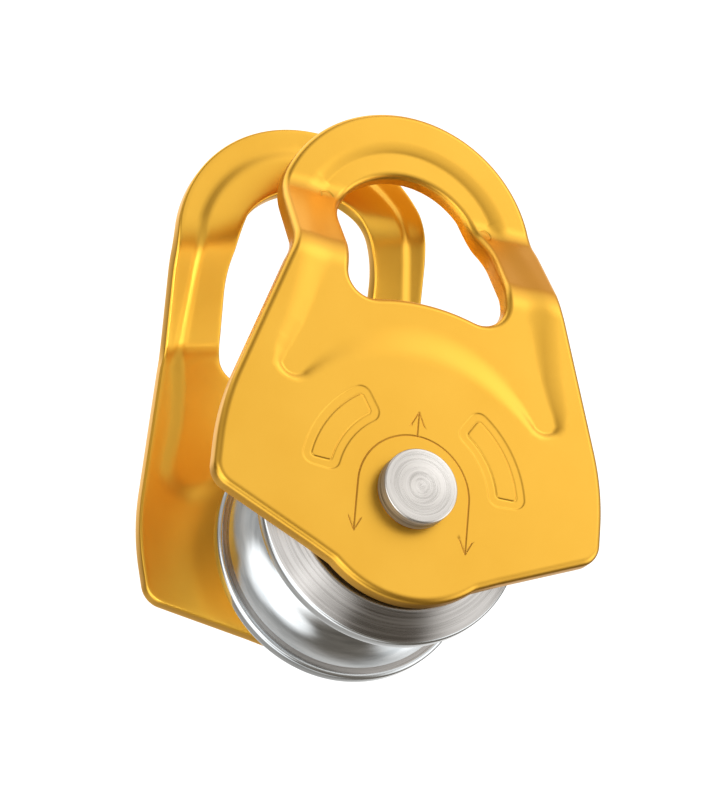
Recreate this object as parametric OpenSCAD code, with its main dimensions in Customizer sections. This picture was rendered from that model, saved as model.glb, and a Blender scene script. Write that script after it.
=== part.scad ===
// Rope pulley: two swinging side plates and one grooved sheave on a riveted axle pin.
// Millimetres. The origin is the middle of the axle, +Y runs along the axle from the
// front plate to the rear plate, +Z points up towards the attachment eyes, +X is right.

/* [Side plates] */
// Full width of a plate's body at its widest
body_w = 48.7; // [47.5:0.1:50]
// Thickness of the plate sheet
plate_t = 2.5; // [2.2:0.1:2.8]
// Clear distance between the inner faces of the two plate bodies
plate_gap = 24.9; // [24.8:0.1:27]
// Radius of the round lobe below the axle
lobe_r = 13.5; // [13:0.1:14]
// Height of the centre of the loop's outer arch above the axle
loop_z = 37.2; // [36.5:0.1:39]
// Radius of the loop's outer arch
loop_r = 17.2; // [16.8:0.1:18]
// How far the loop is set in towards the other plate
joggle = 9.75; // [8:0.05:9.8]
// How deep the web and the inner band are pressed in
recess = 0.8; // [0.4:0.1:1.6]
// Angle between the two plates in the stored pose
rear_swing = 15.4; // [0:0.1:30]

/* [Attachment eye] */
// Radius of the eye's upper arch
eye_r = 10.2; // [9:0.1:10.4]
// Height of the centre of the eye's arch above the axle
eye_z = 35.5; // [35:0.1:36.5]
// Height of the eye's crowned lower edge above the axle
eye_low_z = 25.3; // [25:0.1:26]

/* [Sheave] */
// Diameter over the flanges
flange_d = 33.2; // [32:0.1:34]
// Diameter at the bottom of the rope groove
groove_d = 21; // [20:0.1:23]
// Largest rope the groove takes
rope_d = 13; // [11:0.1:13]
// Width of the sheave from rim to rim
rim_w = 16.9; // [16.5:0.1:18]
// Width of the sheave across its hub faces
hub_w = 22; // [20:0.1:22.2]
// Diameter of the flat hub faces
hub_d = 26.6; // [24:0.1:28]

/* [Axle and bearing] */
// Diameter of the axle pin's shank
pin_d = 7; // [6.5:0.1:7.4]
// Diameter of the pin's turned front head
head_d = 9.2; // [8.6:0.1:10]
// Height of the pin's front head above its plate
head_h = 2.3; // [1.2:0.1:2.4]
// Diameter of the pin's rear end, riveted over
rivet_d = 9.4; // [9:0.1:10]
// Outside diameter of the sleeve that the sheave turns on
sleeve_d = 9; // [8.8:0.1:9.4]
// Outside diameter of the bearing bush
bush_d = 12; // [11.5:0.1:13]
// Outside diameter of the thrust washers
washer_d = 18; // [15:0.5:22]
// Radial running clearance
run_fit = 0.05; // [0.02:0.01:0.1]

/* [Hidden] */
steps = 8;
plate_in = plate_gap / 2;
plate_out = plate_in + plate_t;
body_r = body_w / 2;
// The two bends of the sheet: height of each on the outer face, and the inside radius
bend_low_z = 28.9;
bend_high_z = 40.9;
bend_r = 4.5;
bend_angle = atan2(joggle, bend_high_z - bend_low_z);
// The pressed web starts on a circle about the axle, ends below in a toe on each side,
// and follows the loop's arch above
web_r = 18.3;
web_foot = 38;
toe_low = [16.4, 11.2];
toe_side = [17.3, 13.2];
leg_top = [14.9, 26];
band_z = 36.1;
band_r = 12.5;
// Outline corners on the right-hand side, as x, z and rounding radius
waist = [11.8, -8.8, 6];
foot = [body_r, -3.3, 3];
hip = [body_r, 5.8, 32];
shoulder = [loop_r + 0.15, 28.8, 16];
// Eye corners on the right-hand side, as x, z and rounding radius
eye_crown = [0, eye_low_z, 25];
eye_corner = [eye_r + 0.2, 22.7, 3.2];
eye_side = [eye_r - 0.05, 31, 20];
lobe_half = 41;
// Rope groove: a round channel a little wider than the largest rope
groove_r = rope_d / 2 + 0.2;
groove_c = groove_d / 2 + groove_r;
lip = 0.5;
washer_gap = 0.1;

function unit(v) = v / norm(v);
function xz(c) = [c[0], c[1]];
function wrap(a) = a > 180 ? a - 360 : (a < -180 ? a + 360 : a);
function arc(c, r, a0, a1, n) =
    [for (i = [0 : n]) c + r * [cos(a0 + (a1 - a0) * i / n), sin(a0 + (a1 - a0) * i / n)]];
// Rounds the corner q, which lies between the points p and s
function corner(p, q, s, r) =
    let (u = unit(p - q), v = unit(s - q), half = acos(u * v) / 2)
    let (c = q + unit(u + v) * r / sin(half), tip = r / tan(half))
    let (d0 = q + u * tip - c, d1 = q + v * tip - c)
    let (a0 = atan2(d0[1], d0[0]), turn = wrap(atan2(d1[1], d1[0]) - a0))
    arc(c, r, a0, a0 + turn, steps);
// Angle at which a line from the point p touches the upper right of a circle
function touch(p, c, r) =
    atan2(p[1] - c[1], p[0] - c[0]) + acos(min(1, r / norm(p - c)));
function mirrored(half) =
    [for (i = [len(half) - 1 : -1 : 0]) [-half[i][0], half[i][1]]];
function loop_start() = touch(xz(shoulder), [0, loop_z], loop_r);
function loop_point() = [0, loop_z] + loop_r * [cos(loop_start()), sin(loop_start())];
function lobe_end() = lobe_r * [sin(lobe_half), -cos(lobe_half)];
function outline_half() = concat(
    arc([0, 0], lobe_r, -90, -90 + lobe_half, 12),
    corner(lobe_end(), xz(waist), xz(foot), waist[2]),
    corner(xz(waist), xz(foot), xz(hip), foot[2]),
    corner(xz(foot), xz(hip), xz(shoulder), hip[2]),
    corner(xz(hip), xz(shoulder), loop_point(), shoulder[2]),
    arc([0, loop_z], loop_r, loop_start(), 89, 24));
function eye_start() = touch(xz(eye_side), [0, eye_z], eye_r);
function eye_point() = [0, eye_z] + eye_r * [cos(eye_start()), sin(eye_start())];
function eye_left() = [-eye_corner[0], eye_corner[1]];
function crown_half() =
    let (all = corner(eye_left(), xz(eye_crown), xz(eye_corner), eye_crown[2]))
    [for (p = all) if (p[0] > 0.1) p];
function eye_half() = concat(
    crown_half(),
    corner(xz(eye_crown), xz(eye_corner), xz(eye_side), eye_corner[2]),
    corner(xz(eye_corner), xz(eye_side), eye_point(), eye_side[2]),
    arc([0, eye_z], eye_r, eye_start(), 88, 20));
function web_half() = concat(
    arc([0, 0], web_r, 88, web_foot, 16),
    [toe_low, toe_side, leg_top],
    arc([0, band_z], band_r, 0, 88, 16));

// Section of the sheet: depth below the outer face against height, with both bends
function face(shift, r_low, r_high) =
    let (back = shift * tan(bend_angle / 2))
    let (low = [shift, bend_low_z - back], high = [joggle + shift, bend_high_z - back])
    let (start = [shift, -20], end = [joggle + shift, 60])
    concat([start], corner(start, low, high, r_low), corner(low, high, end, r_high), [end]);
function reversed(list) = [for (i = [len(list) - 1 : -1 : 0]) list[i]];
function section(depth) =
    let (outer = face(0, bend_r + plate_t, bend_r))
    let (inner = face(plate_t, bend_r, bend_r + plate_t))
    [for (p = concat(outer, reversed(inner))) [plate_out - depth - p[0], p[1]]];

// Everything with this outline in the XZ plane, through the whole width of the pulley
module through(points) {
    translate([0, 25, 0])
        rotate([90, 0, 0])
            linear_extrude(height = 50)
                polygon(points);
}

// The bent sheet as a wide strip, on the side of the middle plane given by side
module sheet(side, depth) {
    translate([-30, 0, 0])
        rotate([90, 0, 90])
            linear_extrude(height = 60)
                polygon([for (p = section(depth)) [side * p[0], p[1]]]);
}

module side_plate(side) {
    web = concat(web_half(), mirrored(web_half()));
    difference() {
        intersection() {
            union() {
                difference() {
                    sheet(side, 0);
                    through(web);
                }
                intersection() {
                    sheet(side, recess);
                    through(web);
                }
            }
            through(concat(outline_half(), mirrored(outline_half())));
        }
        through(concat(eye_half(), mirrored(eye_half())));
        rotate([90, 0, 0])
            cylinder(h = 50, r = pin_d / 2 + run_fit, center = true, $fn = 64);
    }
}

// Turns a half section, given as radius against distance along the axle, about the axle
module turned(points) {
    rotate([-90, 0, 0])
        rotate_extrude($fn = 96)
            polygon(points);
}

module front_side_plate() {
    color([0.86, 0.60, 0.13]) side_plate(-1);
}

module rear_side_plate() {
    color([0.86, 0.60, 0.13])
        rotate([0, -rear_swing, 0])
            side_plate(1);
}

module axle_pin() {
    under = plate_out + run_fit;
    shank = pin_d / 2;
    head = head_d / 2;
    rivet = rivet_d / 2;
    top = under + head_h;
    tail = under + head_h - 0.3;
    edge = 0.3;
    front = [[0, -top], [head - edge, -top], [head, edge - top], [head, -under], [shank, -under]];
    rear = [[shank, under], [rivet, under], [rivet, tail - 2 * edge], [rivet - 2 * edge, tail],
        [0, tail]];
    color([0.76, 0.76, 0.74]) turned(concat(front, rear));
}

module spacer_sleeve() {
    half = plate_in - run_fit;
    inner = pin_d / 2;
    outer = sleeve_d / 2;
    color([0.70, 0.70, 0.69])
        turned([[inner, -half], [outer, -half], [outer, half], [inner, half]]);
}

module sheave() {
    rim = flange_d / 2;
    half_w = rim_w / 2;
    mouth = asin((groove_c - rim + lip) / groove_r);
    crest = groove_r * cos(mouth);
    channel = arc([groove_c, 0], groove_r, 180 + 90 - mouth, 90 + mouth, 24);
    bore = bush_d / 2;
    bevel = 0.4;
    right = [[rim - lip, crest], [rim, crest + lip], [rim, half_w - 0.3],
        [rim - 0.3, half_w], [hub_d / 2, hub_w / 2], [bore + bevel, hub_w / 2],
        [bore, hub_w / 2 - bevel]];
    left = [for (i = [len(right) - 1 : -1 : 1]) [right[i][0], -right[i][1]]];
    outer = [for (i = [1 : len(right) - 1]) right[i]];
    color([0.82, 0.82, 0.82]) turned(concat(left, channel, outer));
}

module sheave_bush() {
    half = hub_w / 2 - 0.5;
    inner = sleeve_d / 2 + run_fit;
    outer = bush_d / 2;
    color([0.45, 0.38, 0.28])
        turned([[inner, -half], [outer, -half], [outer, half], [inner, half]]);
}

module thrust_washer(side) {
    near = hub_w / 2 + washer_gap;
    far = plate_in - washer_gap;
    inner = sleeve_d / 2;
    outer = washer_d / 2;
    ring = [[inner, near], [outer, near], [outer, far], [inner, far]];
    color([0.60, 0.60, 0.60]) turned([for (p = ring) [p[0], side * p[1]]]);
}

module front_thrust_washer() {
    thrust_washer(-1);
}

module rear_thrust_washer() {
    thrust_washer(1);
}

front_side_plate();
rear_side_plate();
axle_pin();
spacer_sleeve();
sheave();
sheave_bush();
front_thrust_washer();
rear_thrust_washer();
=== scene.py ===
import math

import bmesh
import bpy
import numpy as np
from mathutils import Matrix, Vector
from mathutils.geometry import delaunay_2d_cdt


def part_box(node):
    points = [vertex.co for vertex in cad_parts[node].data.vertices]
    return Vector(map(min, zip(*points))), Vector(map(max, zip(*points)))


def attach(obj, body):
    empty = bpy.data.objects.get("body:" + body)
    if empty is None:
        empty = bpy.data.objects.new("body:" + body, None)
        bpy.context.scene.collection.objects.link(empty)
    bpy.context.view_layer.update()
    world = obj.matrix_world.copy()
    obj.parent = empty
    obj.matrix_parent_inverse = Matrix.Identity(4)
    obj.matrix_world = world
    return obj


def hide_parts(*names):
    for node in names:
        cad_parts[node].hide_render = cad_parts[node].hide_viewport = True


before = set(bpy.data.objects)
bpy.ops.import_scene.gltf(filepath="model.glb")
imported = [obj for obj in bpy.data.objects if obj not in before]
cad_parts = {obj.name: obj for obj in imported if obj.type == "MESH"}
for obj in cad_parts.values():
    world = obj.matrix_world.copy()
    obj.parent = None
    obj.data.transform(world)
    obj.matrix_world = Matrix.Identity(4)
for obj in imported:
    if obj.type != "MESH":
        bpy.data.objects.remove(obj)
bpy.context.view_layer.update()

# ---------------------------------------------------------------- sizes, in millimetres

MM = 0.001


def box_mm(node):
    """A node's lowest and highest corners, in millimetres."""
    low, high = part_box(node)
    return np.array(low) / MM, np.array(high) / MM


# A plate lies in x and z. Its outer face is PLATE_OUT from the mid-plane, and depths run inwards
plate_low, plate_high = box_mm("front_side_plate")
PLATE_OUT = -plate_low[1]
BODY_R = plate_high[0]
LOBE_R = -plate_low[2]
PLATE_T = 2.5
BORE_R = 3.55
REAR_SWING = math.radians(15.4)

# The loop, and the eye through it: radius and height of the centre
LOOP_R = 17.2
LOOP_Z = plate_high[2] - LOOP_R
EYE_R = 10.2
EYE_Z = 35.5

# How far the loop is set in from the body, and the two bends between them
JOGGLE = 9.75
BEND_LOW_Z = 28.9
BEND_HIGH_Z = 40.9
BEND_R = 4.5

# Rounding of the outer and the inner edges
EDGE_FRONT = 0.85
EDGE_BACK = 0.35

# The pressed-in web: its depth on the body and round the eye, and the heights between which it
# changes; the arch of its crease over the eye; how far the wall is moved outwards on the back
RECESS_BODY = 0.36
RECESS_EYE = 0.40
RECESS_FROM_Z = 12
RECESS_TO_Z = 32
BAND_R = 12.6
BAND_Z = 36.3
BACK_SHIFT = 1.9
BACK_ROUND = 0.35

# Engraved lines, small punch marks and kidney-shaped marks: half widths and depths
LINE_HALF = 0.10
LINE_DEEP = 0.08
PUNCH_HALF = 0.22
PUNCH_DEEP = 0.09
PUNCH_ABOVE_Z = 37
MARKS_WITHIN_R = 16
BEAN_DEEP = 0.085
BEAN_GROWN = 1.1
BEAN_WALL_OUT = 0.2
BEAN_WALL_IN = 0.18
BEAN_LINE_DEEP = 0.03
BEAN_LINE_AT = 0.09
BEAN_LINE_HALF = 0.12

# Spacing of a plate's mesh, and the rows of points that follow each mark, by offset from its line
RIM_STEP = 0.4
HOLE_STEP = 0.35
GRID_PITCH = 0.62
ROW_TO_PITCH = 0.866
FINE_MARGIN = 0.2
FINE_GAP = 0.05
GRID_MARGIN = 0.3
GRID_GAP = 0.34
STROKE_ROWS = (-0.24, -0.14, -0.07, 0, 0.07, 0.14, 0.24)
PUNCH_ROWS = (-0.3, -0.2, -0.1, 0, 0.1, 0.2, 0.3)
BEAN_IN_ROWS = (-0.3, -0.15, -0.08, 0, 0.08, 0.15, 0.3)
BEAN_OUT_ROWS = (-0.3, -0.16, -0.08, 0, 0.08, 0.16, 0.3)
CREASE_ROWS = (0, -0.12, 0.12, -0.25, 0.25, -0.4, 0.4)
WALL_ROWS = (-0.7, 0.65, 0.95, 1.3, 1.65, 2.0, 2.4, 2.8)

# ---------------------------------------------------------------- plan curves of a plate


def arc(centre, radius, a0, a1, n):
    """Points on an arc between two angles in degrees."""
    a = np.radians(np.linspace(a0, a1, n + 1))
    return np.stack([centre[0] + radius * np.cos(a), centre[1] + radius * np.sin(a)], 1)


def corner(before, tip, after, radius, n=10):
    """The arc that rounds the corner at tip."""
    p, q, s = (np.array(v[:2], float) for v in (before, tip, after))
    u, v = (p - q) / np.linalg.norm(p - q), (s - q) / np.linalg.norm(s - q)
    half = math.acos(float(u @ v)) / 2
    c = q + (u + v) / np.linalg.norm(u + v) * radius / math.sin(half)
    d0, d1 = q + u * radius / math.tan(half) - c, q + v * radius / math.tan(half) - c
    a0 = math.degrees(math.atan2(d0[1], d0[0]))
    turn = (math.degrees(math.atan2(d1[1], d1[0])) - a0 + 180) % 360 - 180
    return arc(c, radius, a0, a0 + turn, n)


def touch(point, centre_z, radius):
    """Angle at which a line from the point touches the upper right of a circle on the z axis."""
    dx, dz = point[0], point[1] - centre_z
    return math.degrees(math.atan2(dz, dx) + math.acos(min(1, radius / math.hypot(dx, dz))))


def closed(half):
    """A right-hand half, from bottom to top, with its mirror image. x is the first column."""
    mirror = np.ones(half.shape[1])
    mirror[0] = -1
    return np.vstack([half, half[::-1] * mirror])


def run_of(points):
    """How far along a polyline each of its points is."""
    return np.concatenate([[0], np.cumsum(np.linalg.norm(np.diff(points, axis=0), axis=1))])


def resampled(loop, step):
    """A closed polyline with evenly spaced points."""
    ring = np.vstack([loop, loop[:1]])
    run = run_of(ring)
    n = int(round(run[-1] / step))
    s = np.arange(n) * run[-1] / n
    return np.stack([np.interp(s, run, ring[:, k]) for k in (0, 1)], 1)


def outline():
    """The edge of a plate: round bottom, waist, foot, hip, shoulder and loop."""
    waist = (11.8, -8.8)
    foot = (BODY_R, -3.3)
    hip = (BODY_R, 5.8)
    shoulder = (LOOP_R + 0.15, 28.8)
    lobe = arc((0, 0), LOBE_R, -89.5, -49, 24)
    start = touch(shoulder, LOOP_Z, LOOP_R)
    loop = arc((0, LOOP_Z), LOOP_R, start, 89.5, 60)
    return closed(np.vstack([
        lobe,
        corner(lobe[-1], waist, foot, 6),
        corner(waist, foot, hip, 3, 16),
        corner(foot, hip, shoulder, 32, 16),
        corner(hip, shoulder, loop[0], 16),
        loop,
    ]))


def eye():
    """The edge of the eye: crowned bottom, lower corners, sides and arch."""
    crown = (0, 25.3)
    low = (EYE_R + 0.2, 22.7)
    side = (EYE_R - 0.05, 31)
    bottom = corner((-low[0], low[1]), crown, low, 25, 24)
    start = touch(side, EYE_Z, EYE_R)
    arch = arc((0, EYE_Z), EYE_R, start, 89.5, 48)
    return closed(np.vstack([
        bottom[bottom[:, 0] > 0.1],
        corner(crown, low, side, 3.2, 16),
        corner(low, side, arch[0], 20),
        arch,
    ]))


def web():
    """Crease at the foot of the wall round the pressed-in web. Columns: x, z, then the width of
    the wall's round shoulder, the half width of the crease, the same two on the plate's back."""
    rows = []

    def add(points, *sizes):
        """Points in order, with each size given by values spread evenly along them."""
        along = np.linspace(0, 1, len(points))
        spread = [np.interp(along, np.linspace(0, 1, len(v)), v) for v in sizes]
        rows.append(np.column_stack([points, *spread]))

    foot_r = 19.6 - 0.63 * smooth(np.linspace(0, 1, 45))
    foot = arc((0, 0), 1, 89.5, 38.9, 44) * foot_r[:, None]
    add(foot, (3.2, 3.0, 2.4, 1.3), (1.8, 1.6, 0.9, 0.25), (2.6, 2.2), (1.0, 0.7))
    toe = arc((16.05, 12.95), 1.65, 219, 345, 14)
    add(toe[1:], (1.3, 1.0, 1.2), (0.25, 0.2, 0.25), (1.6,), (0.7,))
    leg = np.array([(17.2, 13.9), (16.6, 15.3), (15.6, 18), (14.9, 21), (14.35, 24)])
    add(leg, (1.8, 2.5, 2.9), (0.25, 0.35, 0.8), (1.6,), (0.7, 0.4))
    leg_end = (14.05, 26.3)
    add(np.array([leg_end]), (2.9,), (1.3,), (1.2,), (0.35,))
    start = touch(leg_end, BAND_Z, BAND_R)
    add(arc((0, BAND_Z), BAND_R, start, 28, 8), (2.4, 1.8), (1.2, 0.6), (0.8,), (0.25,))
    add(arc((0, BAND_Z), BAND_R, 29, 89.5, 44), (1.9, 1.6), (0.22, 0.15), (0.8, 1.4), (0.25, 0.6))
    return closed(np.vstack(rows))


def bean(grow, side):
    """Outline of a kidney-shaped mark about the axle, grown by a margin."""
    r0, r1 = 10.65 - grow, 13.1 + grow
    g0, g1 = math.degrees(grow / r0), math.degrees(grow / r1)
    round_r = 0.35 + 0.9 * grow
    tip_r = round_r * 0.98
    low_in, low_out = (r0, 9.0 - g0), (r1, 7.6 - g1)
    top_in, top_out = (r0, 54.6 + g0), (r1, 55.2 + g1)

    def at(polar):
        a = math.radians(polar[1])
        return (polar[0] * math.cos(a), polar[0] * math.sin(a))

    def trim(r):
        return math.degrees(round_r / r)

    outer = arc((0, 0), r1, low_out[1] + trim(r1), top_out[1] - trim(r1), 24)
    inner = arc((0, 0), r0, top_in[1] - trim(r0), low_in[1] + trim(r0), 24)
    loop = np.vstack([
        outer,
        corner(outer[-1], at(top_out), at(top_in), tip_r, 8),
        corner(at(top_out), at(top_in), inner[0], tip_r, 8),
        inner,
        corner(inner[-1], at(low_in), at(low_out), tip_r, 8),
        corner(at(low_in), at(low_out), outer[0], tip_r, 8),
    ])
    return loop * [side, 1]


def engraved():
    """The thin engraved lines, each an open polyline: an arc over the axle with two straight
    ends, and three arrows."""
    r, end_z = 7, -6.3
    lines = [np.vstack([[[r, end_z]], arc((0, 0), r, 0, 180, 60), [[-r, end_z]]])]
    for side in (-1, 1):
        x = side * r
        lines.append(np.array([[x - 0.75, -4.7], [x, end_z], [x + 0.75, -4.7]]))
    lines.append(np.array([[-0.15, r], [-0.15, 10.1]]))
    lines.append(np.array([[-0.95, 8.5], [-0.15, 10.1], [0.65, 8.4]]))
    return lines


def punched():
    """Two small half-round tool marks on the loop, each an open polyline."""
    return [arc((-11.1, 40.2), 0.8, 0, 200, 16), arc((10.2, 40.3), 0.8, -40, 150, 16)]


def smooth(u):
    """From 0 to 1, level at both ends."""
    u = np.clip(u, 0, 1)
    return u * u * (3 - 2 * u)


def inside(points, loop):
    """Which points a closed polyline holds."""
    x, z = points[:, 0][:, None], points[:, 1][:, None]
    a, b = loop, np.roll(loop, -1, 0)
    over = (a[:, 1] > z) != (b[:, 1] > z)
    with np.errstate(divide="ignore", invalid="ignore"):
        at = a[:, 0] + (z - a[:, 1]) * (b[:, 0] - a[:, 0]) / (b[:, 1] - a[:, 1])
    return (np.sum(over & (x < at), 1) % 2) == 1


def nearest(points, a, b, values=None):
    """Distance from each point to the nearest of the segments a-b, and the values there."""
    chunk = 4000
    ab = b - a
    size = np.maximum((ab ** 2).sum(1), 1e-12)
    best = np.empty(len(points))
    value = None if values is None else np.empty((len(points), values[0].shape[1]))
    for i in range(0, len(points), chunk):
        p = points[i:i + chunk, None, :] - a
        t = np.clip((p * ab).sum(2) / size, 0, 1)
        d = np.hypot(*(p - t[:, :, None] * ab).transpose(2, 0, 1))
        k = d.argmin(1)
        row = np.arange(len(k))
        best[i:i + chunk] = d[row, k]
        if values is not None:
            tk = t[row, k][:, None]
            value[i:i + chunk] = values[0][k] * (1 - tk) + values[1][k] * tk
    return best, value


def to_line(points, line):
    """Distance from each point to an open polyline."""
    return nearest(points, line[:-1], line[1:])[0]


def to_loop(points, loop):
    """Distance from each point to a closed polyline."""
    return nearest(points, loop, np.roll(loop, -1, 0))[0]


LINES = engraved()
PUNCHED = punched()
BEANS = [(resampled(bean(BEAN_GROWN, s), 0.25), resampled(bean(0, s), 0.2)) for s in (-1, 1)]
WEB_ROWS = web()
WEB = WEB_ROWS[:, :2]

# ---------------------------------------------------------------- depth of a plate's faces


def joggle_depth(z):
    """How far the outer face is set in at a height, with a round bend at each end."""
    low, high = BEND_LOW_Z, BEND_HIGH_Z
    lean = math.atan2(JOGGLE, high - low)
    r_low, r_high = BEND_R + PLATE_T, BEND_R
    t_low, t_high = r_low * math.tan(lean / 2), r_high * math.tan(lean / 2)
    bend_low = r_low - np.sqrt(np.maximum(r_low ** 2 - (z - low + t_low) ** 2, 0))
    bend_high = JOGGLE - r_high + np.sqrt(np.maximum(r_high ** 2 - (high + t_high - z) ** 2, 0))
    ramp = (z - low) * math.tan(lean)
    low_end, high_end = low + t_low * math.cos(lean), high - t_high * math.cos(lean)
    return np.select(
        [z < low - t_low, z < low_end, z < high_end, z < high + t_high],
        [0 * z, bend_low, ramp, bend_high],
        JOGGLE,
    )


def web_deep(z):
    """Depth of the pressed-in web at a height."""
    part = smooth((z - RECESS_FROM_Z) / (RECESS_TO_Z - RECESS_FROM_Z))
    return RECESS_BODY + (RECESS_EYE - RECESS_BODY) * part


def soft_above(s, soft):
    """The larger of s and zero, with a round corner."""
    return np.where(s > soft, s, np.where(s < -soft, 0, (s + soft) ** 2 / (4 * soft)))


def web_sizes(points):
    """Distance outside the crease of the web, and the four sizes of the wall there."""
    following = np.roll(WEB_ROWS, -1, 0)
    ends = (WEB_ROWS[:, 2:], following[:, 2:])
    dist, sizes = nearest(points, WEB, following[:, :2], ends)
    return np.where(inside(points, WEB), -dist, dist), sizes.T


def recess_front(points):
    s, (shoulder, soft, _, _) = web_sizes(points)
    rest = np.clip(1 - soft_above(s, soft) / shoulder, 0, 1)
    return web_deep(points[:, 1]) * rest ** 2


def recess_back(points):
    s, (_, _, wall, soft) = web_sizes(points)
    down = soft_above(s - BACK_SHIFT + wall / 2, soft) / wall
    return web_deep(points[:, 1]) * np.clip(soft_above(1 - down, BACK_ROUND), 0, 1)


def marks_depth(points):
    """Depth of the marks pressed into the outer face."""
    depth = np.zeros(len(points))
    near = np.hypot(points[:, 0], points[:, 1]) < MARKS_WITHIN_R
    p = points[near]
    d = np.zeros(len(p))
    for outer, inner in BEANS:
        out_s = to_loop(p, outer) * np.where(inside(p, outer), 1, -1)
        in_s = to_loop(p, inner) * np.where(inside(p, inner), 1, -1)
        d += BEAN_DEEP * smooth(out_s / BEAN_WALL_OUT + 0.5)
        d -= BEAN_DEEP * smooth(in_s / BEAN_WALL_IN + 0.5)
        d += BEAN_LINE_DEEP * smooth(1 - np.abs(in_s + BEAN_LINE_AT) / BEAN_LINE_HALF)
    for line in LINES:
        d += LINE_DEEP * smooth(1 - to_line(p, line) / LINE_HALF)
    depth[near] = d
    high = points[:, 1] > PUNCH_ABOVE_Z
    for line in PUNCHED:
        depth[high] += PUNCH_DEEP * smooth(1 - to_line(points[high], line) / PUNCH_HALF)
    return depth


def bend_only(points):
    return joggle_depth(points[:, 1])


def face_depth(points):
    return joggle_depth(points[:, 1]) + recess_front(points) + marks_depth(points)


def slopes(depth_at, points, h=0.02):
    """How fast a depth changes along x and along z."""
    dx, dz = np.array([h, 0]), np.array([0, h])
    gx = (depth_at(points + dx) - depth_at(points - dx)) / (2 * h)
    gz = (depth_at(points + dz) - depth_at(points - dz)) / (2 * h)
    return gx, gz


def inward(gx, gz):
    """Unit normal of the outer face pointing into the sheet."""
    n = np.stack([-gx, np.ones_like(gx), -gz], 1)
    return n / np.linalg.norm(n, axis=1, keepdims=True)


def lifted(points, depth):
    """Plan points on the front plate, at a depth from its outer face."""
    return np.stack([points[:, 0], -PLATE_OUT + depth, points[:, 1]], 1)


def through(points, set_in_depth):
    """Points inside the sheet, at a depth measured square to it."""
    part = set_in_depth / PLATE_T
    pressed = recess_front(points) * (1 - part) + recess_back(points) * part
    at = lifted(points, bend_only(points)) + inward(*slopes(bend_only, points)) * set_in_depth
    at[:, 1] += pressed
    return at


# ---------------------------------------------------------------- mesh of a plate


def plan_normals(loop):
    """Unit normals of a closed curve, pointing away from its inside."""
    t = np.roll(loop, -1, 0) - np.roll(loop, 1, 0)
    n = np.stack([t[:, 1], -t[:, 0]], 1)
    n /= np.linalg.norm(n, axis=1, keepdims=True)
    area = np.sum(loop[:, 0] * np.roll(loop[:, 1], -1) - np.roll(loop[:, 0], -1) * loop[:, 1])
    return n if area > 0 else -n


def edge_profile():
    """Round front edge, straight side and round back edge: pairs of set-in and depth."""
    front = [(EDGE_FRONT * (1 - math.sin(t)), EDGE_FRONT * (1 - math.cos(t)))
             for t in np.radians(np.linspace(0, 90, 9))]
    back = [(EDGE_BACK * (1 - math.sin(t)), PLATE_T - EDGE_BACK * (1 - math.cos(t)))
            for t in np.radians(np.linspace(90, 0, 6))]
    return front + [(0, PLATE_T / 2)] + back


def strip(line, offsets, step, shut=False):
    """Points in rows along both sides of a polyline, so that the mesh follows it."""
    pts = np.vstack([line, line[:1]]) if shut else line
    run = run_of(pts)
    s = np.linspace(0, run[-1], max(2, int(run[-1] / step)) + 1)
    c = np.stack([np.interp(s, run, pts[:, k]) for k in (0, 1)], 1)
    t = np.gradient(c, axis=0)
    n = np.stack([t[:, 1], -t[:, 0]], 1)
    n /= np.maximum(np.linalg.norm(n, axis=1, keepdims=True), 1e-9)
    return np.vstack([c + n * o for o in offsets])


def strokes(line):
    """A curve as a whole, or the straight parts of an arrow one by one."""
    if len(line) > 4:
        return [line]
    return [line[i:i + 2] for i in range(len(line) - 1)]


def detail_points():
    """Rows of points along every mark, and along the web's crease and wall."""
    rows = [strip(part, STROKE_ROWS, 0.2) for line in LINES for part in strokes(line)]
    rows += [strip(line, PUNCH_ROWS, 0.2) for line in PUNCHED]
    for outer, inner in BEANS:
        rows.append(strip(inner, BEAN_IN_ROWS, 0.22, shut=True))
        rows.append(strip(outer, BEAN_OUT_ROWS, 0.25, shut=True))
    rows.append(strip(WEB, CREASE_ROWS, 0.28, shut=True))
    rows.append(strip(WEB, WALL_ROWS, 0.42, shut=True))
    return np.vstack(rows)


def grid_points():
    """An even triangular grid."""
    xs = np.arange(-BODY_R, BODY_R, GRID_PITCH)
    zs = np.arange(-LOBE_R, LOOP_Z + LOOP_R, GRID_PITCH * ROW_TO_PITCH)
    return np.array([(x + (k % 2) * GRID_PITCH / 2, z) for k, z in enumerate(zs) for x in xs])


def usable(points, rim, hole, margin):
    """The points on the plate that keep a margin from its edges and from the bore."""
    ok = inside(points, rim) & ~inside(points, hole)
    ok &= np.hypot(*points.T) > BORE_R + margin
    for loop in (rim, hole):
        ok &= to_loop(points, loop) > margin
    return points[ok]


def thinned(points, keep_off, gap):
    """The points that are at least gap from every point of another set and from each other."""
    cell = {}
    for q in keep_off:
        cell.setdefault((int(q[0] // gap), int(q[1] // gap)), []).append(q)
    kept = []
    for p in points:
        i, j = int(p[0] // gap), int(p[1] // gap)
        close = any(
            (q[0] - p[0]) ** 2 + (q[1] - p[1]) ** 2 < gap * gap
            for a in (i - 1, i, i + 1) for b in (j - 1, j, j + 1) for q in cell.get((a, b), ())
        )
        if not close:
            kept.append(p)
            cell.setdefault((i, j), []).append(p)
    return np.array(kept)


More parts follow.
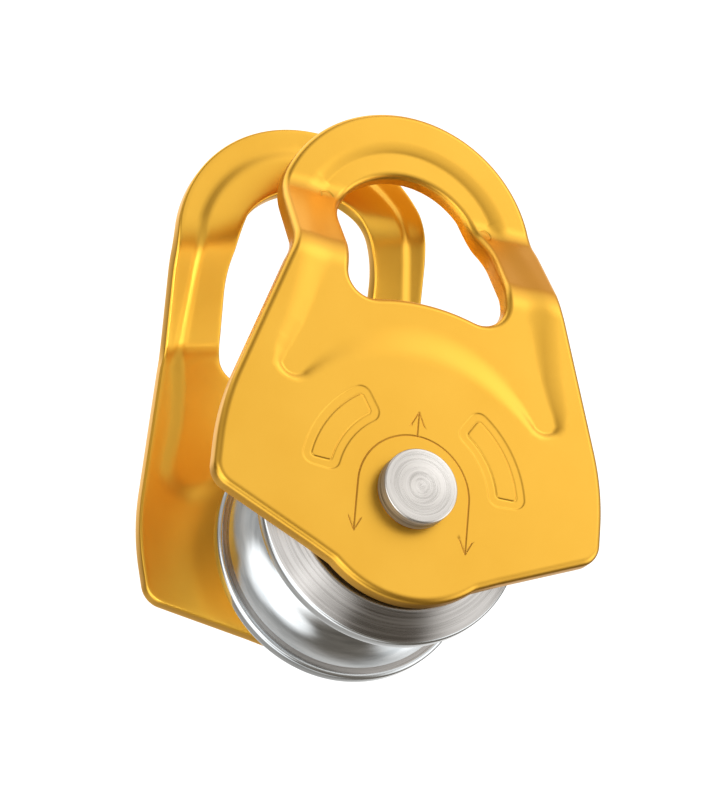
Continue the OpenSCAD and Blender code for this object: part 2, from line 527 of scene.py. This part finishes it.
def triangulated(rim, hole, bore):
    """The flat face between three borders: its points, its triangles, and for each border the
    numbers of its points."""
    borders = (rim, hole, bore)
    fine = thinned(usable(detail_points(), rim, hole, FINE_MARGIN), [], FINE_GAP)
    grid = thinned(usable(grid_points(), rim, hole, GRID_MARGIN), fine, GRID_GAP)
    points = np.vstack([*borders, fine, grid])
    edges = []
    rings = []
    first = 0
    for loop in borders:
        ring = list(range(first, first + len(loop)))
        edges += zip(ring, ring[1:] + ring[:1])
        rings.append(ring)
        first += len(loop)
    found, _, faces, origins, _, _ = delaunay_2d_cdt([Vector(p) for p in points], edges, [], 0, 1e-7)
    flat = np.array([tuple(v) for v in found])
    tris = np.array([f for f in faces if len(f) == 3])
    mid = flat[tris].mean(1)
    tris = tris[inside(mid, rim) & ~inside(mid, hole) & ~inside(mid, bore)]
    a, b, c = (flat[tris[:, k]] for k in range(3))
    turn = (b[:, 0] - a[:, 0]) * (c[:, 1] - a[:, 1]) - (b[:, 1] - a[:, 1]) * (c[:, 0] - a[:, 0])
    tris[turn < 0] = tris[turn < 0][:, ::-1]
    number = {k: i for i, made_from in enumerate(origins) for k in made_from}
    return flat, tris, [[number[k] for k in ring] for ring in rings]


def plate_mesh():
    """One plate: vertices, faces, the outer face's exact normals, and how much of each vertex
    is in an engraved line, which the gold uses to paint shade into the lines."""
    rim, hole = resampled(outline(), RIM_STEP), resampled(eye(), HOLE_STEP)
    bore = arc((0, 0), BORE_R, 0, 360, 48)[:-1]
    loops = [(rim, plan_normals(rim), 1), (hole, plan_normals(hole), -1)]
    flat, tris, borders = triangulated(*(at - sign * n * EDGE_FRONT for at, n, sign in loops), bore)
    n_flat = len(flat)
    count = 2 * n_flat
    verts = [lifted(flat, face_depth(flat)), through(flat, PLATE_T)]
    faces = [tuple(t) for t in tris]
    for (loop, n, sign), border in zip(loops, borders):
        rows = [border]
        for set_in, depth in edge_profile()[1:]:
            verts.append(through(loop - sign * n * set_in, depth))
            rows.append(list(range(count, count + len(loop))))
            count += len(loop)
        rows.append([n_flat + k for k in border])
        for lower, upper in zip(rows[:-1], rows[1:]):
            for i in range(len(loop)):
                j = (i + 1) % len(loop)
                faces.append((lower[i], upper[i], upper[j], lower[j])[::sign])
    faces += [tuple(n_flat + k for k in t[::-1]) for t in tris]
    ring = borders[2]
    for k, m in zip(ring, ring[1:] + ring[:1]):
        faces.append((m, n_flat + m, n_flat + k, k))
    # Weight of the engraved lines at each vertex, for the painted shade in them
    line_shade_weight = np.zeros(count)
    line_shade_weight[:n_flat] = smooth(1 - np.min([to_line(flat, line) for line in LINES], 0) / LINE_HALF)
    return np.vstack(verts), faces, -inward(*slopes(face_depth, flat)), line_shade_weight


def smooth_object(name, verts, faces):
    """A smooth mesh object with every face turned outwards."""
    mesh = bpy.data.meshes.new(name)
    mesh.from_pydata(verts, [], faces)
    mesh.update()
    work = bmesh.new()
    work.from_mesh(mesh)
    bmesh.ops.recalc_face_normals(work, faces=work.faces)
    work.to_mesh(mesh)
    work.free()
    mesh.shade_smooth()
    obj = bpy.data.objects.new(name, mesh)
    bpy.context.collection.objects.link(obj)
    return obj


def make_plate(name, node, body, side, swing, shape):
    """A plate of the shared shape, on the front (side -1) or the rear (side 1), swung by an angle."""
    verts, faces, normals, line_shade_weight = shape
    if side > 0:
        verts, normals = verts * [1, -1, 1], normals * [1, -1, 1]
        faces = [f[::-1] for f in faces]
    c, s = math.cos(swing), math.sin(swing)
    turn = np.array([[c, 0, -s], [0, 1, 0], [s, 0, c]])
    obj = smooth_object(name, (verts @ turn.T * MM).tolist(), faces)
    own = np.array([tuple(k.vector) for k in obj.data.vertex_normals])
    own[:len(normals)] = normals @ turn.T
    obj.data.normals_split_custom_set_from_vertices(own.tolist())
    # The engraved lines' weight, kept so that the gold can paint shade into the lines
    mark = obj.data.attributes.new("groove", "FLOAT", "POINT")
    mark.data.foreach_set("value", line_shade_weight.astype(np.float32))
    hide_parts(node)
    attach(obj, body)
    return obj


# ---------------------------------------------------------------- turned pieces


def lathe(name, profile, segments=256):
    """A closed profile of radius and distance along the axle, turned about the axle."""
    a = np.linspace(0, 2 * math.pi, segments, endpoint=False)
    verts, rings = [], []
    for r, y in np.array(profile, float):
        if r < 1e-6:
            rings.append([len(verts)] * segments)
            verts.append((0, y * MM, 0))
            continue
        rings.append(list(range(len(verts), len(verts) + segments)))
        verts += [(r * math.cos(t) * MM, y * MM, r * math.sin(t) * MM) for t in a]
    faces = []
    for low, high in zip(rings, rings[1:] + rings[:1]):
        for k in range(segments):
            m = (k + 1) % segments
            face = []
            for v in (low[k], low[m], high[m], high[k]):
                if v not in face:
                    face.append(v)
            if len(face) > 2:
                faces.append(face)
    return smooth_object(name, verts, faces)


def rounded(points, n=6):
    """A closed profile with each corner rounded by its own radius, given as a third number."""
    out = []
    for i, p in enumerate(points):
        before, after = points[i - 1], points[(i + 1) % len(points)]
        if p[2] > 0:
            out += [tuple(q) for q in corner(before, p, after, p[2], n)]
        else:
            out.append(tuple(p[:2]))
    return out


def make_sheave():
    """Groove, round lips, rims, conical sides, hub faces and bore."""
    _, high = box_mm("sheave")
    rim, hub_w = high[0], high[1]
    rim_w, hub_r, bore, lip = 8.45, 13.3, 6.0, 0.55
    groove_r, groove_floor = 6.7, 10.5
    rim_round, hub_round, chamfer = 0.6, 1.0, 0.5
    centre = groove_floor + groove_r
    mouth = math.degrees(math.asin((centre - rim + lip) / groove_r))
    crest = groove_r * math.cos(math.radians(mouth))
    channel = [tuple(p) for p in arc((centre, 0), groove_r, 270 - mouth, 90 + mouth, 72)]
    rim_edge, hub_edge = (rim, rim_w), (hub_r, hub_w)
    right = [*arc((rim - lip, crest + lip), lip, -88, -4, 8),
             *corner((rim, crest), rim_edge, hub_edge, rim_round, 8),
             *corner(rim_edge, hub_edge, (bore, hub_w), hub_round, 6),
             (bore + chamfer, hub_w),
             (bore, hub_w - chamfer)]
    left = [(r, -y) for r, y in right[::-1]]
    obj = lathe("sheave_turned", left + channel + right)
    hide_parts("sheave")
    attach(obj, "sheave")
    return obj


def make_pin():
    """Turned head, shank and riveted tail."""
    low, high = box_mm("axle_pin")
    top, tail = -low[1], high[1]
    under = PLATE_OUT + 0.05
    shank, head, rivet = 3.5, 4.6, high[0]
    profile = rounded([
        (shank, under, 0), (rivet, under, 0.1), (rivet, tail, 0.8), (0, tail, 0), (0, -top, 0),
        (head, -top, 0.28), (head, -under, 0.08), (shank, -under, 0),
    ])
    obj = lathe("axle_pin_turned", profile, 192)
    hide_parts("axle_pin")
    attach(obj, "axle")
    return obj


# ---------------------------------------------------------------- materials


def new_material(name):
    m = bpy.data.materials.new(name)
    m.use_nodes = True
    return m, m.node_tree.nodes, m.node_tree.links, m.node_tree.nodes["Principled BSDF"]


def node(nodes, kind, **values):
    """A new node, with values for its own settings or, with _ for a space, its inputs."""
    n = nodes.new(kind)
    for key, value in values.items():
        if hasattr(n, key):
            setattr(n, key, value)
        else:
            n.inputs[key.replace("_", " ")].default_value = value
    return n


def two_tone(nodes, links, source, places, colours):
    """A colour that goes from one to another between two values of the source."""
    tint = nodes.new("ShaderNodeValToRGB")
    for stop, place, colour in zip(tint.color_ramp.elements, places, colours):
        stop.position = place
        stop.color = colour
    links.new(source, tint.inputs["Fac"])
    return tint.outputs["Color"]


def ranged(nodes, links, source, given, wanted):
    """The source, moved from one range to another."""
    scale = nodes.new("ShaderNodeMapRange")
    for end, a, b in zip(("Min", "Max"), given, wanted):
        scale.inputs["From " + end].default_value = a
        scale.inputs["To " + end].default_value = b
    links.new(source, scale.inputs["Value"])
    return scale.outputs["Result"]


def bumped(nodes, links, source, shader, strength, distance):
    bump = node(nodes, "ShaderNodeBump", Strength=strength, Distance=distance)
    links.new(source, bump.inputs["Height"])
    links.new(bump.outputs["Normal"], shader.inputs["Normal"])


GOLD_TONES = (0.83, 0.470, 0.046, 1), (0.86, 0.500, 0.056, 1)
# Painted shade: the colour of the engraved lines, darker than the gold, standing in for shade in their
# grooves
GOLD_PAINTED_SHADE_IN_LINES = (0.50, 0.22, 0.015, 1)


def gold_material():
    """Satin gold anodising: dyed oxide under a clear surface, clouded and finely grained,
    with painted shade darkening the engraved lines.
    """
    m, nodes, links, shader = new_material("gold_anodised")
    shader.inputs["Metallic"].default_value = 1.0
    shader.inputs["Coat Weight"].default_value = 0.75
    shader.inputs["Coat Roughness"].default_value = 0.32
    shader.inputs["Coat IOR"].default_value = 1.5
    shader.inputs["Specular Tint"].default_value = (1.0, 0.80, 0.50, 1)
    coords = nodes.new("ShaderNodeTexCoord")
    cloud = node(nodes, "ShaderNodeTexNoise", Scale=110.0, Detail=3.0)
    links.new(coords.outputs["Object"], cloud.inputs["Vector"])
    # Painted shade: the engraved lines are mixed towards a darker colour
    line_shade_weight = node(nodes, "ShaderNodeAttribute", attribute_name="groove")
    colour = nodes.new("ShaderNodeMix")
    colour.data_type = "RGBA"
    colour.inputs["B"].default_value = GOLD_PAINTED_SHADE_IN_LINES
    links.new(line_shade_weight.outputs["Fac"], colour.inputs["Factor"])
    tone = two_tone(nodes, links, cloud.outputs["Fac"], (0.3, 0.7), GOLD_TONES)
    links.new(tone, colour.inputs["A"])
    links.new(colour.outputs["Result"], shader.inputs["Base Color"])
    rough = ranged(nodes, links, cloud.outputs["Fac"], (0, 1), (0.30, 0.37))
    links.new(rough, shader.inputs["Roughness"])
    grain = node(nodes, "ShaderNodeTexNoise", Scale=7000.0, Detail=2.0)
    links.new(coords.outputs["Object"], grain.inputs["Vector"])
    bumped(nodes, links, grain.outputs["Fac"], shader, 0.10, 0.00002)
    return m


def turned_material(
        name, dark, light, rough, rings_per_mm, streaks, strength, aniso=0.0, metallic=1.0):
    """Turned metal: fine rings about the axle, with streaks along them."""
    m, nodes, links, shader = new_material(name)
    shader.inputs["Metallic"].default_value = metallic
    coords = nodes.new("ShaderNodeTexCoord")
    split = nodes.new("ShaderNodeSeparateXYZ")
    links.new(coords.outputs["Object"], split.inputs[0])
    flat = nodes.new("ShaderNodeCombineXYZ")
    links.new(split.outputs["X"], flat.inputs["X"])
    links.new(split.outputs["Z"], flat.inputs["Y"])
    radius = node(nodes, "ShaderNodeVectorMath", operation="LENGTH")
    links.new(flat.outputs[0], radius.inputs[0])
    unit = node(nodes, "ShaderNodeVectorMath", operation="NORMALIZE")
    links.new(flat.outputs[0], unit.inputs[0])
    way = nodes.new("ShaderNodeSeparateXYZ")
    links.new(unit.outputs[0], way.inputs[0])

    def times(source, factor, target):
        product = node(nodes, "ShaderNodeMath", operation="MULTIPLY")
        product.inputs[1].default_value = factor
        links.new(source, product.inputs[0])
        links.new(product.outputs[0], target)

    def ring_noise(per_mm, around, detail=3.0):
        """Noise that changes fast with the radius and along the axle, slowly round it."""
        place = nodes.new("ShaderNodeCombineXYZ")
        noise = node(nodes, "ShaderNodeTexNoise", noise_dimensions="4D", Scale=1.0, Detail=detail)
        times(radius.outputs["Value"], per_mm / MM, place.inputs["X"])
        times(split.outputs["Y"], per_mm / MM, noise.inputs["W"])
        times(way.outputs["X"], around, place.inputs["Y"])
        times(way.outputs["Y"], around, place.inputs["Z"])
        links.new(place.outputs[0], noise.inputs["Vector"])
        return noise.outputs["Fac"]

    rings = ring_noise(rings_per_mm, 0.6)
    smears = ring_noise(rings_per_mm * 0.3, streaks)
    tone = two_tone(nodes, links, smears, (0.32, 0.62), (dark, light))
    links.new(tone, shader.inputs["Base Color"])
    links.new(ranged(nodes, links, smears, (0.3, 0.7), rough), shader.inputs["Roughness"])
    bumped(nodes, links, rings, shader, strength, 0.00003)
    if aniso:
        shader.inputs["Anisotropic"].default_value = aniso
        shader.inputs["Anisotropic Rotation"].default_value = 0.25
        round_y = node(nodes, "ShaderNodeTangent", direction_type="RADIAL", axis="Y")
        links.new(round_y.outputs[0], shader.inputs["Tangent"])
    return m


TURNED = {
    "polished_aluminium": dict(
        dark=(0.56, 0.60, 0.63, 1), light=(0.85, 0.89, 0.92, 1), rough=(0.12, 0.26),
        rings_per_mm=2.5, streaks=1.6, strength=0.10),
    "turned_aluminium": dict(
        dark=(0.34, 0.33, 0.32, 1), light=(0.52, 0.51, 0.50, 1), rough=(0.22, 0.34),
        rings_per_mm=10.0, streaks=1.2, strength=0.30, aniso=0.5),
    "turned_steel": dict(
        dark=(0.56, 0.545, 0.525, 1), light=(0.76, 0.74, 0.715, 1), rough=(0.22, 0.34),
        rings_per_mm=14.0, streaks=0.4, strength=0.45, aniso=0.4),
    # Painted shade: a darker, half-metallic copy of the turned steel for the pin's sides, so the head's
    # side is darker than its face
    "turned_steel_painted_shade_side": dict(
        dark=(0.08, 0.08, 0.08, 1), light=(0.42, 0.42, 0.42, 1), rough=(0.25, 0.40),
        rings_per_mm=9.0, streaks=0.4, strength=0.5, metallic=0.5),
    "sintered_bronze": dict(
        dark=(0.30, 0.19, 0.09, 1), light=(0.48, 0.33, 0.17, 1), rough=(0.40, 0.60),
        rings_per_mm=3.0, streaks=6.0, strength=0.3),
}

# The sheave is polished in its groove, up to this distance from the mid-plane, and on its rims,
# outside this radius. In millimetres
POLISHED_HALF = 6.4
POLISHED_RADIUS = 15.95


def dress(obj, *materials):
    obj.data.materials.clear()
    for material in materials:
        obj.data.materials.append(material)


# ---------------------------------------------------------------- build

shape = plate_mesh()
front_plate = make_plate("front_plate_pressing", "front_side_plate", "front_plate", -1, 0.0, shape)
rear_plate = make_plate(
    "rear_plate_pressing", "rear_side_plate", "rear_plate", 1, REAR_SWING, shape)
sheave = make_sheave()
pin = make_pin()

gold = gold_material()
metals = {name: turned_material(name, **look) for name, look in TURNED.items()}
dress(front_plate, gold)
dress(rear_plate, gold)
dress(sheave, metals["turned_aluminium"], metals["polished_aluminium"])
for polygon in sheave.data.polygons:
    at = polygon.center
    in_groove = abs(at.y) < POLISHED_HALF * MM
    polygon.material_index = int(in_groove or math.hypot(at.x, at.z) > POLISHED_RADIUS * MM)
# Painted shade: the pin's sides take the darker copy of its steel, and the faces square to the axle take
# the plain one
dress(pin, metals["turned_steel"], metals["turned_steel_painted_shade_side"])
for polygon in pin.data.polygons:
    polygon.material_index = int(abs(polygon.normal.y) < 0.5)
for name in ("spacer_sleeve", "front_thrust_washer", "rear_thrust_washer"):
    dress(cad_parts[name], metals["turned_steel"])
dress(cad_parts["sheave_bush"], metals["sintered_bronze"])

# ---------------------------------------------------------------- floor and lights, in metres

FLOOR_Z = -0.2
FLOOR_HALF = 12.0

KEY = dict(place=(0.55, -0.62, 0.60), target=(0, 0, 0.01), size=0.55, power=0.55)
TOP_GLOW = dict(
    place=(-0.004, 0.002, 0.080), target=(-0.016, -0.011, 0.033), size=0.014, power=0.0004)

# Small lights for the rear plate's bend: name, direction from the bend, distance, size, power
REAR_BEND = Vector((-0.021, 0.009, 0.028))
REAR_FILLS = [
    ("rear_fill", (0.60, -0.475, -0.65), 0.048, 0.016, 0.0108),
    ("rear_crest", (-0.10, -0.58, -0.81), 0.150, 0.034, 0.0260),
]

# Soft light by direction: where from, half angle of the full part, half angle of the whole, power
SOFT_BOXES = [
    ((0.60, -0.66, 0.45), 14, 62, 0.67),
    ((0.94, -0.25, -0.25), 8, 34, 1.00),
    ((-0.38, -0.55, -0.74), 8, 25, 1.00),
    ((0.30, -0.45, 0.84), 8, 30, 0.30),
    ((-0.78, -0.48, -0.38), 16, 35, 1.20),
    ((-0.62, 0.30, -0.72), 18, 40, 1.05),
    ((0.10, 0.35, -0.93), 8, 26, 0.40),
    ((0.20, 0.87, 0.45), 16, 54, 0.66),
    ((-0.45, 0.60, 0.66), 16, 38, 0.35),
    ((-0.42, 0.10, 0.90), 12, 33, 0.90),
    ((-0.90, -0.22, 0.38), 8, 34, 0.30),
    ((-0.46, -0.76, 0.40), 6, 30, 0.20),
    ((-0.10, -0.98, -0.12), 5, 36, 0.31),
    ((0.00, 0.96, -0.28), 10, 36, 0.20),
]
ROOM = (0.165, 0.145, 0.122)

# A warm one above, with a colour for its power, which the plates' sloping legs reflect
WARM_BOX = ((0.30, 0.24, 0.92), 8, 36, (0.28, 0.17, 0.12))


def add_floor():
    corners = [(x * FLOOR_HALF, y * FLOOR_HALF, FLOOR_Z) for x, y in ((-1, -1), (1, -1), (1, 1), (-1, 1))]
    mesh = bpy.data.meshes.new("floor")
    mesh.from_pydata(corners, [], [(0, 1, 2, 3)])
    floor = bpy.data.objects.new("floor", mesh)
    bpy.context.collection.objects.link(floor)
    floor.visible_glossy = False
    floor.visible_shadow = False
    paint, _, _, shader = new_material("pale_floor")
    shader.inputs["Base Color"].default_value = (0.82, 0.82, 0.81, 1)
    shader.inputs["Roughness"].default_value = 0.8
    mesh.materials.append(paint)


def area_light(name, place, target, size, power):
    """A square light that shines from a place towards a target."""
    data = bpy.data.lights.new(name, "AREA")
    data.shape = "RECTANGLE"
    data.size = size
    data.size_y = size
    data.energy = power
    obj = bpy.data.objects.new(name, data)
    obj.location = place
    obj.rotation_mode = "QUATERNION"
    obj.rotation_quaternion = (Vector(target) - Vector(place)).to_track_quat("-Z", "Y")
    bpy.context.collection.objects.link(obj)
    return obj


def add_lights():
    """The key, a small glow above, and the lights that only the rear plate takes, which the
    front plate and the sheave would otherwise hide from it."""
    area_light("key", **KEY)
    glow = area_light("top_glow", **TOP_GLOW)
    glow.visible_camera = False
    rear_only = bpy.data.collections.new("rear_fill_objects")
    rear_only.objects.link(rear_plate)
    for name, way, far, size, power in REAR_FILLS:
        place = REAR_BEND + Vector(way).normalized() * far
        fill = area_light(name, place, REAR_BEND, size, power)
        fill.visible_camera = False
        fill.light_linking.receiver_collection = rear_only
        fill.light_linking.blocker_collection = rear_only


def add_lobe(nodes, links, coords, direction, inner, outer, power):
    """How much of the lobe a direction sees, as a number from 0 to power."""
    toward = node(nodes, "ShaderNodeVectorMath", operation="DOT_PRODUCT")
    toward.inputs[1].default_value = Vector(direction).normalized()
    links.new(coords.outputs["Generated"], toward.inputs[0])
    lobe = node(nodes, "ShaderNodeMapRange", interpolation_type="SMOOTHSTEP")
    lobe.inputs["From Min"].default_value = math.cos(math.radians(outer))
    lobe.inputs["From Max"].default_value = math.cos(math.radians(inner))
    lobe.inputs["To Max"].default_value = power
    links.new(toward.outputs["Value"], lobe.inputs["Value"])
    return lobe.outputs["Result"]


def add_world():
    """The room's light and all lobes added up, with plain white for the camera to see."""
    world = bpy.data.worlds.new("studio")
    bpy.context.scene.world = world
    world.use_nodes = True
    nodes, links = world.node_tree.nodes, world.node_tree.links
    coords = nodes.new("ShaderNodeTexCoord")

    def sum_with(light):
        add = node(nodes, "ShaderNodeVectorMath", operation="ADD")
        links.new(light, add.inputs[0])
        return add

    total = None
    for box in SOFT_BOXES:
        add = sum_with(add_lobe(nodes, links, coords, *box))
        if total:
            links.new(total, add.inputs[1])
        else:
            add.inputs[1].default_value = ROOM
        total = add.outputs["Vector"]
    direction, inner, outer, tint = WARM_BOX
    warm = node(nodes, "ShaderNodeVectorMath", operation="SCALE")
    warm.inputs[0].default_value = tint
    links.new(add_lobe(nodes, links, coords, direction, inner, outer, 1.0), warm.inputs["Scale"])
    add = sum_with(total)
    links.new(warm.outputs["Vector"], add.inputs[1])
    light = nodes["Background"]
    links.new(add.outputs["Vector"], light.inputs["Color"])
    plain = nodes.new("ShaderNodeBackground")
    plain.inputs["Color"].default_value = (1, 1, 1, 1)
    plain.inputs["Strength"].default_value = 1.0
    seen = nodes.new("ShaderNodeLightPath")
    mix = nodes.new("ShaderNodeMixShader")
    links.new(seen.outputs["Is Camera Ray"], mix.inputs[0])
    links.new(light.outputs[0], mix.inputs[1])
    links.new(plain.outputs[0], mix.inputs[2])
    links.new(mix.outputs[0], nodes["World Output"].inputs["Surface"])


# ---------------------------------------------------------------- camera

# The tilt, pan and roll of the photograph's view. SHIFT is where the camera has a point on the
# axle, to its right, ahead and up; that point is FRONT_FACE_TO_MIDDLE before the mid-plane. All
# lengths are in millimetres
TILT = math.radians(-23.386)
PAN = math.radians(19.541)
ROLL = math.radians(5.322)
SHIFT = Vector((7.084, 357.545, -10.693))
FRONT_FACE_TO_MIDDLE = 14.94
LENS = 138.1905
SENSOR = 36


def add_camera():
    ct, st = math.cos(TILT), math.sin(TILT)
    cp, sp = math.cos(PAN), math.sin(PAN)
    cr, sr = math.cos(ROLL), math.sin(ROLL)
    tilt = Matrix(((1, 0, 0), (0, ct, -st), (0, st, ct)))
    pan = Matrix(((cp, -sp, 0), (sp, cp, 0), (0, 0, 1)))
    roll = Matrix(((cr, 0, sr), (0, 1, 0), (-sr, 0, cr)))
    turn = roll @ tilt @ pan
    centre = -(turn.transposed() @ SHIFT) - Vector((0, FRONT_FACE_TO_MIDDLE, 0))
    right, forward, up = (Vector(turn[k]) for k in range(3))
    data = bpy.data.cameras.new("camera")
    data.sensor_width = SENSOR
    data.lens = LENS
    data.clip_start, data.clip_end = 0.01, 20
    obj = bpy.data.objects.new("camera", data)
    basis = Matrix((right, up, -forward)).transposed()
    obj.matrix_world = Matrix.Translation(centre * MM) @ basis.to_4x4()
    bpy.context.collection.objects.link(obj)
    bpy.context.scene.camera = obj


add_floor()
add_lights()
add_world()
bpy.context.scene.view_settings.view_transform = "Standard"
bpy.context.scene.view_settings.look = "Medium High Contrast"
add_camera()
